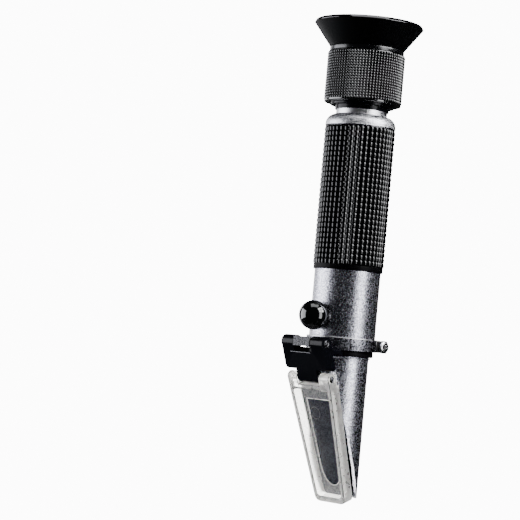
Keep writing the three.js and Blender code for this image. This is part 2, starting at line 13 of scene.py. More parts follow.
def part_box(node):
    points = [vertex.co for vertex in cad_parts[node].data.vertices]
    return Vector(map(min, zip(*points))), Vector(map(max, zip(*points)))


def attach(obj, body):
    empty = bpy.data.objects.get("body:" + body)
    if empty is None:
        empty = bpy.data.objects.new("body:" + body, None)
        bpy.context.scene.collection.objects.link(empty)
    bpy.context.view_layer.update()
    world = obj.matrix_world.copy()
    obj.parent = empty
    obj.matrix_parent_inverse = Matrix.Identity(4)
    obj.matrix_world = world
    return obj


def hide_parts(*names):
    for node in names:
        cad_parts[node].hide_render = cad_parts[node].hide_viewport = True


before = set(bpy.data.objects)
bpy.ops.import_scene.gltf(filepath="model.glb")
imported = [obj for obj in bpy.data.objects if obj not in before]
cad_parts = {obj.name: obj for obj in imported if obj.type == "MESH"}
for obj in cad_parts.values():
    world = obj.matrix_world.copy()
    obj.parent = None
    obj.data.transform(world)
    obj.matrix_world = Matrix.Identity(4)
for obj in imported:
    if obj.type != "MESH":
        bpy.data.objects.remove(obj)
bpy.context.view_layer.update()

MM = 0.001
AXIS = sum(corner.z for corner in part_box("eyepiece_neck")) / 2
ROUND = 128
FINE = 64


def station(node, end):
    """Lowest (0) or highest (1) station of a CAD node, in millimetres."""
    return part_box(node)[end].x / MM


def height(node, end):
    """Lowest (0) or highest (1) height of a CAD node above the optical axis, in millimetres."""
    return (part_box(node)[end].z - AXIS) / MM


def add_object(name, data):
    obj = bpy.data.objects.new(name, data)
    bpy.context.scene.collection.objects.link(obj)
    return obj


# -------- camera, lights, stage

VIEW_ELEVATION = math.radians(43.2)
VIEW_TILT = math.radians(2.25)
VIEW_ROLL = math.radians(5.12)
VIEW_DISTANCE = 0.680
VIEW_ANCHOR = Vector((-0.02355, 0, AXIS))
VIEW_AIM = (-0.0293, 0.02467)
VIEW_LENS = 132.7
STAGE_RADIUS = 3.0
STAGE_GLOW = 12.0


def view_axes():
    """Right, up and forward of the camera: +X of the object runs up the picture, leaning right."""
    level = Vector((0, math.cos(VIEW_ELEVATION), -math.sin(VIEW_ELEVATION)))
    along = Vector((1, 0, 0))
    across = level.cross(along)
    forward = math.cos(VIEW_TILT) * level + math.sin(VIEW_TILT) * along
    upward = math.cos(VIEW_TILT) * along - math.sin(VIEW_TILT) * level
    right = math.cos(VIEW_ROLL) * across + math.sin(VIEW_ROLL) * upward
    up = math.cos(VIEW_ROLL) * upward - math.sin(VIEW_ROLL) * across
    return right, up, forward


def make_camera():
    right, up, forward = view_axes()
    aim = VIEW_ANCHOR + VIEW_AIM[0] * right + VIEW_AIM[1] * up
    camera = add_object("camera", bpy.data.cameras.new("camera"))
    turn = Matrix((right, up, -forward)).transposed().to_4x4()
    camera.matrix_world = Matrix.Translation(aim - VIEW_DISTANCE * forward) @ turn
    camera.data.lens = VIEW_LENS
    camera.data.clip_start = 0.01
    bpy.context.scene.camera = camera


def facing(direction, distance):
    """A placement at a distance from the object's middle, with -Z towards it and X near +X."""
    direction = Vector(direction).normalized()
    middle = Vector((0, 0, AXIS))
    across = Vector((1, 0, 0))
    across = (across - across.dot(direction) * direction).normalized()
    turn = Matrix((across, direction.cross(across), direction)).transposed().to_4x4()
    return Matrix.Translation(middle + distance * direction) @ turn


def area_light(name, direction, distance, size, power, color=(1, 1, 1), mirrored=True):
    """A rectangular light. mirrored says whether reflections show it."""
    light = bpy.data.lights.new(name, "AREA")
    light.shape = "RECTANGLE"
    light.size, light.size_y = size
    light.energy = power
    light.color = color
    obj = add_object(name, light)
    obj.matrix_world = facing(direction, distance)
    obj.visible_glossy = mirrored


def emission_material(name, color, strength):
    material = bpy.data.materials.new(name)
    material.use_nodes = True
    nodes = material.node_tree.nodes
    nodes.clear()
    emission = nodes.new("ShaderNodeEmission")
    emission.inputs["Color"].default_value = (*color, 1)
    emission.inputs["Strength"].default_value = strength
    output = nodes.new("ShaderNodeOutputMaterial")
    material.node_tree.links.new(emission.outputs[0], output.inputs["Surface"])
    material.cycles.emission_sampling = "NONE"
    return material


def only_seen_by(obj, *rays):
    """Keeps a stage piece out of every kind of ray but the named ones."""
    for ray in ("camera", "diffuse", "glossy", "transmission", "volume_scatter", "shadow"):
        setattr(obj, "visible_" + ray, ray in rays)


def reflector_card(name, direction, distance, size, strength, shift=(0, 0)):
    """A glowing card that only reflections see. shift moves it in its own plane."""
    low_x, high_x = shift[0] - size[0] / 2, shift[0] + size[0] / 2
    low_y, high_y = shift[1] - size[1] / 2, shift[1] + size[1] / 2
    corners = [(low_x, low_y, 0), (high_x, low_y, 0), (high_x, high_y, 0), (low_x, high_y, 0)]
    mesh = bpy.data.meshes.new(name)
    mesh.from_pydata(corners, [], [(0, 1, 2, 3)])
    mesh.materials.append(emission_material(name, (0.97, 0.98, 1.0), strength))
    card = add_object(name, mesh)
    card.matrix_world = facing(direction, distance)
    only_seen_by(card, "glossy")


def window_cards(direction, distance, pane, bar, strength):
    """Four panes with a crossbar between them."""
    for row in (-1, 1):
        for column in (-1, 1):
            shift = (row * (pane[0] + bar) / 2, column * (pane[1] + bar) / 2)
            name = "window_pane_" + str((row + 1) // 2) + str((column + 1) // 2)
            reflector_card(name, direction, distance, pane, strength, shift)


def across_view(degrees):
    """The direction at an angle from the camera's, towards the right of the picture."""
    right, _, forward = view_axes()
    side = Vector((0, right.y, right.z)).normalized()
    front = Vector((0, -forward.y, -forward.z)).normalized()
    angle = math.radians(degrees)
    return math.cos(angle) * front + math.sin(angle) * side


def make_stage():
    """A white floor and dome that only the camera and clear pieces see."""
    white = emission_material("stage_white", (1, 1, 1), STAGE_GLOW)
    bm = bmesh.new()
    bmesh.ops.create_circle(bm, cap_ends=True, radius=STAGE_RADIUS, segments=96)
    floor_mesh = bpy.data.meshes.new("stage_floor")
    bm.to_mesh(floor_mesh)
    bm.clear()
    bmesh.ops.create_uvsphere(bm, u_segments=48, v_segments=24, radius=STAGE_RADIUS)
    dome_mesh = bpy.data.meshes.new("stage_dome")
    bm.to_mesh(dome_mesh)
    bm.free()
    for mesh in (floor_mesh, dome_mesh):
        mesh.materials.append(white)
        obj = add_object(mesh.name, mesh)
        only_seen_by(obj, "camera", "transmission")


def make_lights():
    world = bpy.data.worlds.new("studio")
    world.use_nodes = True
    background = world.node_tree.nodes["Background"]
    background.inputs["Color"].default_value = (0.9, 0.95, 1.0, 1)
    background.inputs["Strength"].default_value = 0.02
    bpy.context.scene.world = world
    area_light("back_softbox", across_view(-98), 0.60, (0.50, 0.58), 4.6, (0.93, 0.94, 1.0))
    window = across_view(61) + Vector((0.72, 0, 0))
    area_light("window_light", window, 0.72, (0.30, 0.30), 5.5, mirrored=False)
    window_cards(window, 0.70, (0.18, 0.22), 0.04, 16.0)
    reflector_card("right_card", across_view(52), 0.60, (0.50, 0.23), 5.5)
    reflector_card("top_card", (1.0, -0.15, 0.15), 0.60, (0.36, 0.50), 2.5)
    reflector_card("rear_card", across_view(-150), 0.60, (0.50, 0.18), 2.0)


# -------- materials

# Noise scales are per metre. A relief is a depth in metres and a strength.
BLASTED = (1900, (1, 1, 1), 1.5)
FROSTED = (1900, (1, 1, 1), 2.0)
FINE_MARKS = (0.00001, 0.3)
RUBBER_GRAIN = (0.00002, 0.3)


def principled(name, color, roughness, metallic=0.0, **sockets):
    material = bpy.data.materials.new(name)
    material.use_nodes = True
    shader = material.node_tree.nodes["Principled BSDF"]
    shader.inputs["Base Color"].default_value = (*color, 1)
    shader.inputs["Roughness"].default_value = roughness
    shader.inputs["Metallic"].default_value = metallic
    for socket, value in sockets.items():
        shader.inputs[socket.replace("_", " ")].default_value = value
    return material


def noise(material, scale, stretch=(1, 1, 1), detail=3.0):
    """A noise texture on the piece's own coordinates, in metres."""
    nodes, links = material.node_tree.nodes, material.node_tree.links
    place = nodes.new("ShaderNodeTexCoord")
    mapping = nodes.new("ShaderNodeMapping")
    mapping.inputs["Scale"].default_value = stretch
    texture = nodes.new("ShaderNodeTexNoise")
    texture.inputs["Scale"].default_value = scale
    texture.inputs["Detail"].default_value = detail
    links.new(place.outputs["Object"], mapping.inputs["Vector"])
    links.new(mapping.outputs["Vector"], texture.inputs["Vector"])
    return texture.outputs["Fac"]


def vary(material, factor, low, high):
    """Roughness between two values by a factor."""
    nodes, links = material.node_tree.nodes, material.node_tree.links
    spread = nodes.new("ShaderNodeMapRange")
    spread.inputs["To Min"].default_value = low
    spread.inputs["To Max"].default_value = high
    links.new(factor, spread.inputs["Value"])
    links.new(spread.outputs["Result"], nodes["Principled BSDF"].inputs["Roughness"])


def tint(material, factor, first, second):
    """Base colour that drifts between two colours by a factor."""
    nodes, links = material.node_tree.nodes, material.node_tree.links
    mix = nodes.new("ShaderNodeMix")
    mix.data_type = "RGBA"
    mix.inputs[6].default_value = (*first, 1)
    mix.inputs[7].default_value = (*second, 1)
    links.new(factor, mix.inputs[0])
    links.new(mix.outputs[2], nodes["Principled BSDF"].inputs["Base Color"])


def sharpened(material, factor, low, high):
    """A factor stretched so that low becomes 0 and high becomes 1."""
    spread = material.node_tree.nodes.new("ShaderNodeMapRange")
    spread.inputs["From Min"].default_value = low
    spread.inputs["From Max"].default_value = high
    material.node_tree.links.new(factor, spread.inputs["Value"])
    return spread.outputs["Result"]


def bump(material, factors, distance, strength):
    """Relief from one or more height factors, each with a weight."""
    nodes, links = material.node_tree.nodes, material.node_tree.links
    total = None
    for factor, weight in factors:
        scaled = nodes.new("ShaderNodeMath")
        scaled.operation = "MULTIPLY_ADD"
        scaled.inputs[1].default_value = weight
        scaled.inputs[2].default_value = 0.0
        links.new(factor, scaled.inputs[0])
        if total is not None:
            links.new(total, scaled.inputs[2])
        total = scaled.outputs[0]
    relief = nodes.new("ShaderNodeBump")
    relief.inputs["Distance"].default_value = distance
    relief.inputs["Strength"].default_value = strength
    links.new(total, relief.inputs["Height"])
    links.new(relief.outputs["Normal"], nodes["Principled BSDF"].inputs["Normal"])


def surface(name, color, roughness, metallic, grain, spread, relief=None, tints=None,
            sharp=None, tint_scale=None, **sockets):
    """A material whose roughness, colour and relief follow one noise.

    grain holds the arguments of noise, and sharp the limits it is sharpened to. The roughness
    varies over spread, and the colour between the two tints. The colour follows a noise of its
    own where tint_scale is given.
    """
    material = principled(name, color, roughness, metallic, **sockets)
    factor = noise(material, *grain)
    if sharp:
        factor = sharpened(material, factor, *sharp)
    if tints:
        tint(material, noise(material, tint_scale) if tint_scale else factor, *tints)
    vary(material, factor, *spread)
    if relief:
        bump(material, [(factor, 1.0)], *relief)
    return material


def satin_aluminium():
    """The tube's fine sandblasting, with faint turning marks under it."""
    material = principled("satin_aluminium", (0.60, 0.60, 0.66), 0.24, 1.0)
    grain = sharpened(material, noise(material, *BLASTED), 0.36, 0.64)
    rings = noise(material, 1.0, (2600, 200, 200), 2.0)
    specks = sharpened(material, noise(material, 1700, detail=1.0), 0.38, 0.62)
    tint(material, specks, (0.34, 0.34, 0.40), (0.82, 0.82, 0.89))
    vary(material, grain, 0.25, 0.36)
    bump(material, [(grain, 1.0), (rings, 0.5)], 0.000026, 1.0)
    return material


def band_aluminium_painted_shade():
    """Rougher than the tube: a blasted casting. Its darker colour is painted shade."""
    return surface("band_aluminium_painted_shade", (0.34, 0.34, 0.37), 0.34, 1.0, BLASTED, (0.24, 0.40), (0.00003, 0.9),
                   ((0.03, 0.03, 0.035), (0.36, 0.36, 0.40)), (0.38, 0.62))


def lug_metal_painted_shade():
    """The lug's blasted face, darkened to grey: painted shade on the band's silver metal."""
    return surface("lug_metal_painted_shade", (0.05, 0.05, 0.055), 0.6, 0.6, FROSTED, (0.5, 0.7), (0.00006, 0.8),
                   ((0.01, 0.01, 0.011), (0.24, 0.24, 0.25)), (0.40, 0.60))


# The clamping ears, coloured nearly black: painted shade on the band's silver metal.
def ear_metal_painted_shade():
    return surface("ear_metal_painted_shade", (0.02, 0.02, 0.022), 0.4, 0.8, (2600,), (0.34, 0.5), (0.00005, 0.5),
                   ((0.006, 0.006, 0.007), (0.04, 0.04, 0.042)))


def shoulder_aluminium_painted_light():
    """Blasted more coarsely than the tube, so the light spreads further over it. Its colour is lighter than
    the tube's: painted light.
    """
    return surface("shoulder_aluminium_painted_light", (0.80, 0.80, 0.84), 0.42, 1.0, BLASTED, (0.34, 0.52),
                   (0.00003, 0.9), ((0.68, 0.68, 0.72), (0.98, 0.98, 1.0)), (0.38, 0.62))


def neck_aluminium():
    """Turned, with fine rings."""
    return surface("neck_aluminium", (0.92, 0.92, 0.94), 0.34, 1.0, (1.0, (6000, 40, 40), 2.0),
                   (0.28, 0.42), FINE_MARKS)


def turned_steel():
    return surface("turned_steel", (0.80, 0.80, 0.81), 0.2, 1.0, (1.0, (3000, 3000, 500), 3.0),
                   (0.14, 0.34), FINE_MARKS)


def pin_steel():
    return surface("pin_steel", (0.18, 0.18, 0.19), 0.22, 1.0, (1.0, (3000, 500, 3000), 3.0),
                   (0.16, 0.34), FINE_MARKS)


def dotted_rubber():
    """The hard, shiny rubber of the knurl."""
    return surface("dotted_rubber", (0.0015, 0.0015, 0.002), 0.10, 0.0, (4000,), (0.05, 0.10), RUBBER_GRAIN,
                   ((0.001, 0.001, 0.0012), (0.002, 0.002, 0.0024)), tint_scale=300,
                   Specular_IOR_Level=1.0, Coat_Weight=0.5, Coat_Roughness=0.08)


def grip_rubber():
    return surface("grip_rubber", (0.0015, 0.0015, 0.002), 0.1, 0.0, (4000,), (0.06, 0.14), RUBBER_GRAIN,
                   ((0.001, 0.001, 0.0012), (0.0025, 0.0025, 0.003)), tint_scale=300,
                   Specular_IOR_Level=0.55)


def eyecup_rubber():
    """Duller than the grip's."""
    return surface("eyecup_rubber", (0.002, 0.002, 0.0025), 0.42, 0.0, (3000,), (0.34, 0.52), RUBBER_GRAIN,
                   ((0.0015, 0.0015, 0.002), (0.003, 0.003, 0.0035)), tint_scale=120,
                   Specular_IOR_Level=0.06)


def black_anodised():
    material = principled("black_anodised", (0.003, 0.003, 0.004), 0.22, Specular_IOR_Level=0.7)
    grain = noise(material, 2600)
    rings = noise(material, 1.0, (4000, 60, 60), 2.0)
    vary(material, grain, 0.16, 0.28)
    bump(material, [(grain, 0.6), (rings, 0.6)], 0.00001, 0.4)
    return material


def black_link():
    return surface("black_link", (0.0015, 0.0016, 0.002), 0.2, 0.0, (2200,), (0.16, 0.26), (0.00003, 0.3),
                   ((0.0025, 0.003, 0.0045), (0.005, 0.0055, 0.008)), tint_scale=400,
                   Specular_IOR_Level=0.16)


def gloss_black():
    return surface("gloss_black", (0.002, 0.002, 0.0025), 0.05, 0.0, (500,), (0.03, 0.09), (0.00001, 0.1),
                   Specular_IOR_Level=0.45, Coat_Weight=1.0, Coat_Roughness=0.02)


def tray_plastic():
    """Clear, with a slight haze and waves."""
    material = surface("tray_plastic", (0.95, 0.94, 0.92), 0.28, 0.0, (700,), (0.22, 0.36), None,
                       ((0.90, 0.88, 0.84), (1.0, 1.0, 0.98)), tint_scale=1900,
                       Transmission_Weight=0.72, IOR=1.49)
    bump(material, [(noise(material, 260), 1.0)], 0.00003, 0.25)
    return material


def tray_edge_painted_shade():
    """Painted shade on the moulded edges, where a clear plastic looks darkest."""
    return surface("tray_edge_painted_shade", (0.16, 0.16, 0.155), 0.3, 0.0, (900,), (0.24, 0.4), None,
                   ((0.05, 0.05, 0.048), (0.30, 0.30, 0.29)), IOR=1.49)


def frosted_plastic():
    return surface("frosted_plastic", (0.14, 0.14, 0.145), 0.5, 0.0, FROSTED, (0.4, 0.62), (0.00003, 0.5),
                   ((0.10, 0.10, 0.105), (0.26, 0.26, 0.265)), (0.38, 0.62),
                   Specular_IOR_Level=0.3, IOR=1.49)


def window_plastic():
    """The dark window, with the prism behind it."""
    return surface("window_plastic", (0.02, 0.022, 0.028), 0.35, 0.0, FROSTED, (0.3, 0.45), (0.00002, 0.4),
                   ((0.008, 0.009, 0.013), (0.055, 0.058, 0.075)), (0.40, 0.62), Specular_IOR_Level=0.2)


def prism_glass():
    return surface("prism_glass", (0.10, 0.14, 0.19), 0.08, 0.0, (900,), (0.05, 0.16), (0.00001, 0.2),
                   ((0.020, 0.026, 0.038), (0.06, 0.07, 0.09)), Transmission_Weight=0.35, IOR=1.62)


def lens_glass():
    """Coated, with a violet sheen."""
    return surface("lens_glass", (0.93, 0.96, 1.0), 0.02, 0.0, (200,), (0.01, 0.03), Transmission_Weight=1.0,
                   IOR=1.52, Coat_Weight=0.5, Coat_Roughness=0.02, Coat_Tint=(0.75, 0.55, 1.0, 1))


def black_matt():
    return surface("black_matt", (0.012, 0.012, 0.013), 0.6, 0.0, (3000,), (0.5, 0.75), (0.00003, 0.4))


def brass():
    return surface("brass", (0.83, 0.63, 0.30), 0.25, 1.0, (1.0, (1500, 1500, 4500), 2.0),
                   (0.18, 0.38), FINE_MARKS)


def spring_steel():
    return surface("spring_steel", (0.55, 0.56, 0.60), 0.28, 1.0, (1.0, (900, 5200, 5200), 2.0),
                   (0.2, 0.4), FINE_MARKS)


# -------- shape helpers

def rounded(outline, radius, steps=3, closed=True):
    """An outline with its corners turned into short curves. radius is one number or one per corner."""
    count = len(outline)
    radii = [radius] * count if isinstance(radius, (int, float)) else radius
    result = []
    for index, corner in enumerate(outline):
        at_end = not closed and index in (0, count - 1)
        if at_end or radii[index] <= 0:
            result.append(tuple(corner))
            continue
        here = Vector(corner)
        back = Vector(outline[index - 1]) - here
        ahead = Vector(outline[(index + 1) % count]) - here
        reach = min(radii[index], 0.48 * back.length, 0.48 * ahead.length)
        first = here + reach * back.normalized()
        last = here + reach * ahead.normalized()
        for step in range(steps + 1):
            t = step / steps
            result.append(tuple((1 - t) ** 2 * first + 2 * t * (1 - t) * here + t ** 2 * last))
    return result


def arc(centre, radius, start, end, steps):
    """Points on an arc, angles in degrees, ends included."""
    angles = [math.radians(start + (end - start) * i / steps) for i in range(steps + 1)]
    return [(centre[0] + radius * math.cos(a), centre[1] + radius * math.sin(a)) for a in angles]


def finish_mesh(name, bm, material, smooth=30):
    """Turns a bmesh in millimetres about the axis into a placed, smooth-shaded object."""
    bmesh.ops.remove_doubles(bm, verts=bm.verts, dist=1e-4)
    bmesh.ops.dissolve_degenerate(bm, edges=bm.edges, dist=1e-5)
    bmesh.ops.recalc_face_normals(bm, faces=bm.faces)
    bmesh.ops.transform(bm, matrix=Matrix.Translation((0, 0, AXIS)) @ Matrix.Scale(MM, 4), verts=bm.verts)
    mesh = bpy.data.meshes.new(name)
    bm.to_mesh(mesh)
    bm.free()
    mesh.shade_smooth()
    mesh.set_sharp_from_angle(angle=math.radians(smooth))
    mesh.materials.append(material)
    return add_object(name, mesh)


def revolve(profile, steps, place):
    """A bmesh turned from [along, radius] points. place(along, across, up) gives each vertex."""
    bm = bmesh.new()
    on_axis = profile[0][1] == 0 and profile[-1][1] == 0
    rings = []
    for i in range(steps):
        angle = 2 * math.pi * (i + 0.5) / steps
        sine, cosine = math.sin(angle), math.cos(angle)
        rings.append([bm.verts.new(place(a, r * sine, r * cosine)) for a, r in profile])
    count = len(profile)
    spans = count - 1 if on_axis else count
    for i in range(steps):
        ring, following = rings[i], rings[(i + 1) % steps]
        for j in range(spans):
            k = (j + 1) % count
            bm.faces.new((ring[j], ring[k], following[k], following[j]))
    return bm


def along_axis(a, across, up):
    """A revolved piece's place on the optical axis."""
    return (a, across, up)


def upright_at(centre):
    """A revolved piece's place on an upright axis at a station."""
    return lambda a, across, up: (centre + up, across, a)


def across_at(centre):
    """A revolved piece's place on an axis along Y through a [station, height]."""
    return lambda a, across, up: (centre[0] + across, a, centre[1] + up)


def turned(name, profile, material, steps=ROUND, smooth=30):
    """A piece turned about the optical axis."""
    return finish_mesh(name, revolve(profile, steps, along_axis), material, smooth)


def prism_of(outline, low, high, place):
    """A bmesh pushed out from an outline between two levels, put where place(x, y, level) says."""
    bm = bmesh.new()
    floor = [bm.verts.new(place(x, y, low)) for x, y in outline]
    roof = [bm.verts.new(place(x, y, high)) for x, y in outline]
    bm.faces.new(floor)
    bm.faces.new(list(reversed(roof)))
    for i in range(len(outline)):
        k = (i + 1) % len(outline)
        bm.faces.new((floor[k], floor[i], roof[i], roof[k]))
    return bm


def side_profile(outline, low, high):
    """A [station, height] outline pushed out along Y."""
    return prism_of(outline, low, high, lambda x, z, y: (x, y, z))


def cross_cylinder(centre, radius, low, high, steps=32):
    """A round or many-sided bar along Y through a [station, height]."""
    circle = arc(centre, radius, 0, 360 * (steps - 1) / steps, steps - 1)
    return side_profile(circle, low, high)


def block(low, high):
    """A box between two opposite (station, across, height) corners."""
    outline = [(low[0], low[2]), (high[0], low[2]), (high[0], high[2]), (low[0], high[2])]
    return side_profile(outline, low[1], high[1])


def scratch_object(bm):
    mesh = bpy.data.meshes.new("scratch")
    bm.to_mesh(mesh)
    bm.free()
    return add_object("scratch", mesh)


def carve(parts, cuts):
    """Joins the bmeshes in parts, cuts away those in cuts, and returns the result as a bmesh."""
    for bm in parts + cuts:
        bmesh.ops.recalc_face_normals(bm, faces=bm.faces)
    base = scratch_object(parts[0])
    tools = [(scratch_object(bm), "UNION") for bm in parts[1:]]
    tools += [(scratch_object(bm), "DIFFERENCE") for bm in cuts]
    for tool, operation in tools:
        modifier = base.modifiers.new(operation, "BOOLEAN")
        modifier.operation = operation
        modifier.solver = "EXACT"
        modifier.object = tool
    shaped = base.evaluated_get(bpy.context.evaluated_depsgraph_get())
    result = bmesh.new()
    result.from_mesh(shaped.to_mesh())
    shaped.to_mesh_clear()
    for obj in [base] + [tool for tool, _ in tools]:
        bpy.data.objects.remove(obj)
    return result


def second_material(obj, material, chosen):
    """Gives the faces whose centre is chosen(x, y, z), in millimetres about the axis, another material."""
    obj.data.materials.append(material)
    index = len(obj.data.materials) - 1
    for face in obj.data.polygons:
        x, y, z = face.center
        if chosen(x / MM, y / MM, (z - AXIS) / MM):
            face.material_index = index


def softened(obj, width, segments=2, angle=32, edge_material=None):
    """Rounds an object's sharp edges by a width in millimetres, in a material of their own if one is given.

    A piece with its own edge material gets the full width everywhere.
    """
    bevel = obj.modifiers.new("soft_edges", "BEVEL")
    bevel.width = width * MM
    bevel.segments = segments
    bevel.limit_method = "ANGLE"
    bevel.angle_limit = math.radians(angle)
    bevel.harden_normals = True
    bevel.use_clamp_overlap = edge_material is None
    if edge_material is not None:
        obj.data.materials.append(edge_material)
        bevel.material = len(obj.data.materials) - 1
    return obj


def stands_for(obj, body, slot, *nodes):
    """Puts a piece on its body, in place of the CAD nodes that it details."""
    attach(obj, body)
    if nodes:
        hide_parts(*nodes)
    return obj


# -------- eyepiece

EYE_END = station("eyecup", 1)
RIM_RADIUS = height("eyecup", 1)
EYECUP_BASE = station("eyecup", 0)
EYECUP_BASE_RADIUS = 13.2
EYECUP_LIP = 1.0
EYECUP_FLOOR = 78.5
SPIGOT_RADIUS = 10.5
SPIGOT_END = 79.3
FOOT_RADIUS = 9.6
STEP_RADIUS = 11.35
STEP_END = 56.75
FLANGE_RADIUS = 13.25
FLANGE_FROM = 75.1
FLANGE_TO = 76.6
POCKET_FROM = 66.5
POCKET_TO = 74.7
O_RING_FROM = 58.0
O_RING_TO = 59.4
NECK_RADIUS = 9.1
NECK_BORE = 7.9
KNURL_RADIUS = 13.9
KNURL_WALL = 1.25
KNURL_SHAPE = (0.42, 0.20, 2.0)
KNURL_COLUMNS = 78
KNURL_ROWS = 18
CELL_STEPS = 7


def make_eyecup():
    """A thin straight cone with a rounded lip, seated over the focus ring's spigot."""
    corners = [
        (EYECUP_BASE, SPIGOT_RADIUS + 0.1),
        (EYECUP_BASE, EYECUP_BASE_RADIUS),
        (EYE_END - EYECUP_LIP, RIM_RADIUS),
        (EYE_END, RIM_RADIUS - 0.6),
        (EYE_END, RIM_RADIUS - 1.3),
        (EYECUP_FLOOR + 1.1, EYECUP_BASE_RADIUS + 0.4),
        (EYECUP_FLOOR, EYECUP_BASE_RADIUS - 0.8),
        (EYECUP_FLOOR, SPIGOT_RADIUS + 0.1),
    ]
    profile = rounded(corners, [0.1, 0.25, 0.12, 0.25, 0.3, 0.9, 0.5, 0.15], 5)
    cup = turned("eyecup_cone", profile, eyecup_rubber(), steps=160, smooth=40)
    second_material(cup, dotted_rubber(), lambda x, y, z: x > EYE_END - EYECUP_LIP - 0.15)
    stands_for(cup, "focus_ring", "black_rubber", "eyecup")


def knurled_tube(name, ends, radius, bore, columns, rows, shape, material, hems):
    """A tube whose outside carries a grid of domed cells, with a plain hem at each end.

    shape is (depth_around, depth_along, power): the depths of the grooves that run along the tube
    and of those that run round it, and how flat the domes are. hems are the hems' two widths.
    """
    samples = [i / CELL_STEPS for i in range(CELL_STEPS)]
    dome = [abs(2 * place - 1) ** shape[2] for place in samples]
    depth_around = [shape[0] * drop for drop in dome]
    depth_along = [shape[1] * drop for drop in dome]
    first, last = ends[0] + hems[0], ends[1] - hems[1]
    stations, along = [], []
    for row in range(rows):
        for place, depth in zip(samples, depth_along):
            stations.append(first + (last - first) * (row + place) / rows)
            along.append(depth)
    stations.append(last)
    along.append(depth_along[0])
    angles, around = [], []
    for column in range(columns):
        for place, depth in zip(samples, depth_around):
            angles.append(2 * math.pi * (column + place) / columns)
            around.append(depth)
    hem = radius - shape[1] - 0.04
    low, high = ends
    hem_low = [(low, bore), (low, hem - 0.25), (low + 0.08, hem - 0.08), (low + 0.25, hem),
               (first - 0.05, hem)]
    hem_high = [(last + 0.05, hem), (high - 0.25, hem), (high - 0.08, hem - 0.08), (high, hem - 0.25),
                (high, bore)]
    bm = bmesh.new()
    lines = []
    for angle, groove in zip(angles, around):
        outer = [(a, radius - groove - depth) for a, depth in zip(stations, along)]
        line = hem_low + outer + hem_high
        points = [bm.verts.new((a, r * math.sin(angle), r * math.cos(angle))) for a, r in line]
        lines.append(points)
    count = len(lines[0])
    for i, points in enumerate(lines):
        following = lines[(i + 1) % len(lines)]
        for j in range(count):
            k = (j + 1) % count
            bm.faces.new((points[j], points[k], following[k], following[j]))
    return finish_mesh(name, bm, material, smooth=40)


def make_focus_ring():
    """The ring that turns for focus, with its knurled sleeve and two steps below it."""
    ends = (station("knurled_sleeve", 0), station("knurled_sleeve", 1))
    sleeve = knurled_tube("knurl", ends, KNURL_RADIUS - 0.02, KNURL_RADIUS - KNURL_WALL,
                          KNURL_COLUMNS, KNURL_ROWS, KNURL_SHAPE, dotted_rubber(), (0.75, 0.35))
    stands_for(sleeve, "focus_ring", "black_rubber", "knurled_sleeve")
    bore = NECK_RADIUS + 0.1
    under_knurl = KNURL_RADIUS - KNURL_WALL - 0.1
    start = station("focus_ring", 0)
    corners = [
        (start, bore), (start, FOOT_RADIUS), (start + 1.45, FOOT_RADIUS), (start + 1.5, STEP_RADIUS),
        (STEP_END, STEP_RADIUS), (STEP_END, under_knurl), (FLANGE_FROM, under_knurl),
        (FLANGE_FROM, FLANGE_RADIUS), (FLANGE_TO, FLANGE_RADIUS), (FLANGE_TO, SPIGOT_RADIUS),
        (SPIGOT_END, SPIGOT_RADIUS), (SPIGOT_END, 8.4), (POCKET_TO, 8.4), (POCKET_TO, 10.35),
        (POCKET_FROM, 10.35), (POCKET_FROM, bore), (O_RING_TO, bore), (O_RING_TO, 9.95),
        (O_RING_FROM, 9.95), (O_RING_FROM, bore),
    ]
    radii = [0.1, 0.25, 0.05, 0.25, 0.25, 0, 0, 0.25, 0.25, 0.05, 0.2, 0.2] + [0] * 8
    ring = turned("focus_body", rounded(corners, radii, 3), black_anodised())
    second_material(ring, black_link(), lambda x, y, z: x < STEP_END + 0.05)
    stands_for(ring, "focus_ring", "black_anodised", "focus_ring")


def lens_profile(front, back, radius, bulge):
    """Half the outline of a lens that bulges by as much on both faces."""
    steps = 10
    radii = [radius * i / steps for i in range(steps + 1)]
    front_face = [(front - bulge * (1 - (r / radius) ** 2), r) for r in radii]
    back_face = [(back + bulge * (1 - (r / radius) ** 2), r) for r in reversed(radii)]
    return front_face + back_face


def make_eyepiece_optics():
    """The lens cell, its threaded retainer and the eye lens, which show from the eye end."""
    corners = [(52, 6.2), (52, 7.7), (67.5, 7.7), (67.5, 10.2), (74.5, 10.2), (74.5, 6.9), (53, 6.9),
               (53, 6.2)]
    cell = turned("lens_cell", rounded(corners, 0.2), black_anodised(), steps=96)
    stands_for(cell, "lens_carriage", "black_anodised", "eye_lens_cell")
    grooves = [(71.8 + 2.4 * i / 12, 6.8 - 0.14 * (i % 2)) for i in range(13)]
    retainer_profile = [(71.8, 5.8)] + grooves + [(74.2, 6.0), (73.7, 5.8)]
    retainer = turned("lens_retainer", retainer_profile, black_anodised(), steps=96)
    stands_for(retainer, "lens_carriage", "black_anodised", "eye_lens_retainer")
    glass = turned("eye_lens_glass", lens_profile(68.4, 70.4, 6.8, 1.2), lens_glass(), steps=96)
    stands_for(glass, "lens_carriage", "lens_glass", "eye_lens")


# -------- barrel

TUBE_RADIUS = 11.75
TUBE_BORE = 10.3
TUBE_SLIP = 0.1
NECK_SOCKET = 38
SHOULDER_FROM = 48.5
SHOULDER_RADIUS = 12.5
SHOULDER_CORNER = 3.5
BUSH_HOLE = 3.3
GRIP_RADIUS = 12.62
GRIP_BORE = 11.85
GRIP_SHAPE = (0.50, 0.25, 2.0)
GRIP_COLUMNS = 42
GRIP_ROWS = 27
GRIP_HEM = 1.9
CALIBRATION_STATION = -19.4


